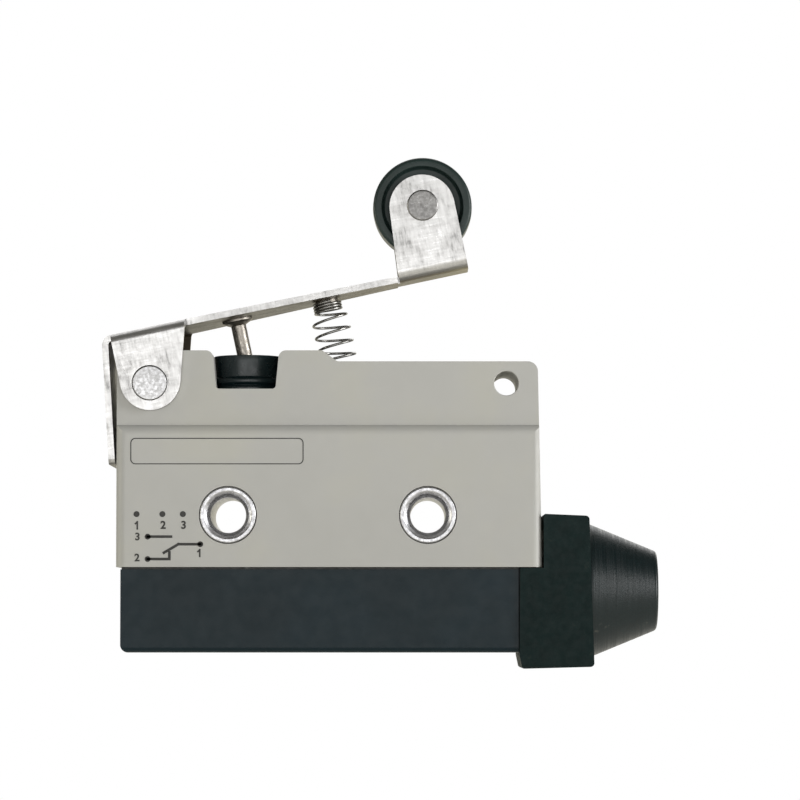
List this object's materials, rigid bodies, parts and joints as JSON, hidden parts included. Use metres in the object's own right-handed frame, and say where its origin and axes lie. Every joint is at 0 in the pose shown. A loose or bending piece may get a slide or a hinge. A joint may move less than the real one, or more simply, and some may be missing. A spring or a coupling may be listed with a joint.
{
  "type": "limit switch",
  "caption": "Sealed box limit switch with a sprung hinge lever carrying a roller, two through mounting eyelets, a terminal cover and a conical cable boot.",
  "frame": {"origin": "midway between the two mounting holes, on the mounting face", "axes": "+X along the case towards the cable boot, +Y from the label face out of the mounting face, +Z from the terminal cover up to the lever"},
  "size_m": [0.071, 0.0175, 0.0658],
  "materials": {
    "case_plastic": "satin moulded plastic, warm grey",
    "eyelet_metal": "plated, lightly scuffed",
    "pin_metal": "turned stainless",
    "lever_sheet": "brushed stainless sheet",
    "roller_plastic": "black moulded plastic",
    "spring_wire": "drawn spring wire",
    "seal_rubber": "glossy black rubber",
    "plunger_plastic": "black moulded plastic",
    "actuator_plastic": "ivory moulded plastic",
    "contact_strip": "spring bronze strip",
    "contact_silver": "silver contact rivets",
    "terminal_brass": "stamped brass",
    "screw_metal": "zinc plated",
    "block_plastic": "black moulded plastic",
    "gasket_rubber": "black rubber",
    "cover_plastic": "satin black moulded plastic",
    "boot_rubber": "dark rubber with fine turning marks"
  },
  "bodies": {
    "case": {"housing_front": "case_plastic", "housing_back": "case_plastic", "eyelet_left": "eyelet_metal", "eyelet_right": "eyelet_metal", "return_spring": "spring_wire", "plunger_seal": "seal_rubber", "overtravel_spring": "spring_wire", "terminal_com": "terminal_brass", "terminal_no": "terminal_brass", "terminal_nc": "terminal_brass", "fixed_contact_no": "contact_silver", "fixed_contact_nc": "contact_silver", "terminal_screws": "screw_metal", "terminal_washers": "screw_metal", "terminal_block": "block_plastic", "cover_gasket": "gasket_rubber", "terminal_cover": "cover_plastic", "cable_boot": "boot_rubber"},
    "lever": {"lever": "lever_sheet", "hinge_pin": "pin_metal", "push_pin": "pin_metal", "spring_stud": "pin_metal", "roller_axle": "pin_metal"},
    "roller": {"roller": "roller_plastic"},
    "plunger": {"plunger": "plunger_plastic"},
    "actuator": {"actuator_pin": "actuator_plastic"},
    "blade": {"contact_blade": "contact_strip", "moving_contacts": "contact_silver", "snap_tongue": "contact_strip"}
  },
  "joints": [
    {"name": "lever_pivot", "type": "hinge", "parent": "case", "child": "lever", "pos_m": [-0.0227, -0.00875, 0.0168], "axis": [0, 1, 0], "range_deg": [0, 14], "stiffness_Nm_per_rad": 0.2, "springref_deg": -11.46, "deforming": ["return_spring"]},
    {"name": "roller_spin", "type": "hinge", "parent": "lever", "child": "roller", "pos_m": [0.01205, -0.00875, 0.03993], "axis": [0, 1, 0], "continuous": true},
    {"name": "plunger_slide", "type": "slide", "parent": "case", "child": "plunger", "axis": [0, 0, -1], "range_m": [0, 0.0031], "deforming": ["overtravel_spring"]},
    {"name": "actuator_slide", "type": "slide", "parent": "case", "child": "actuator", "axis": [0, 0, -1], "range_m": [0, 0.00061]},
    {"name": "blade_swing", "type": "hinge", "parent": "case", "child": "blade", "pos_m": [0.0055, -0.00875, 0.00768], "axis": [0, 1, 0], "range_deg": [-2.25, 0]}
  ],
  "couplings": [
    {"joint": "plunger_slide", "follows": "lever_pivot", "m_per_rad": 0.0125},
    {"joint": "actuator_slide", "follows": "lever_pivot", "m_per_rad": 0.002423},
    {"joint": "blade_swing", "follows": "lever_pivot", "ratio": -0.15714}
  ]
}
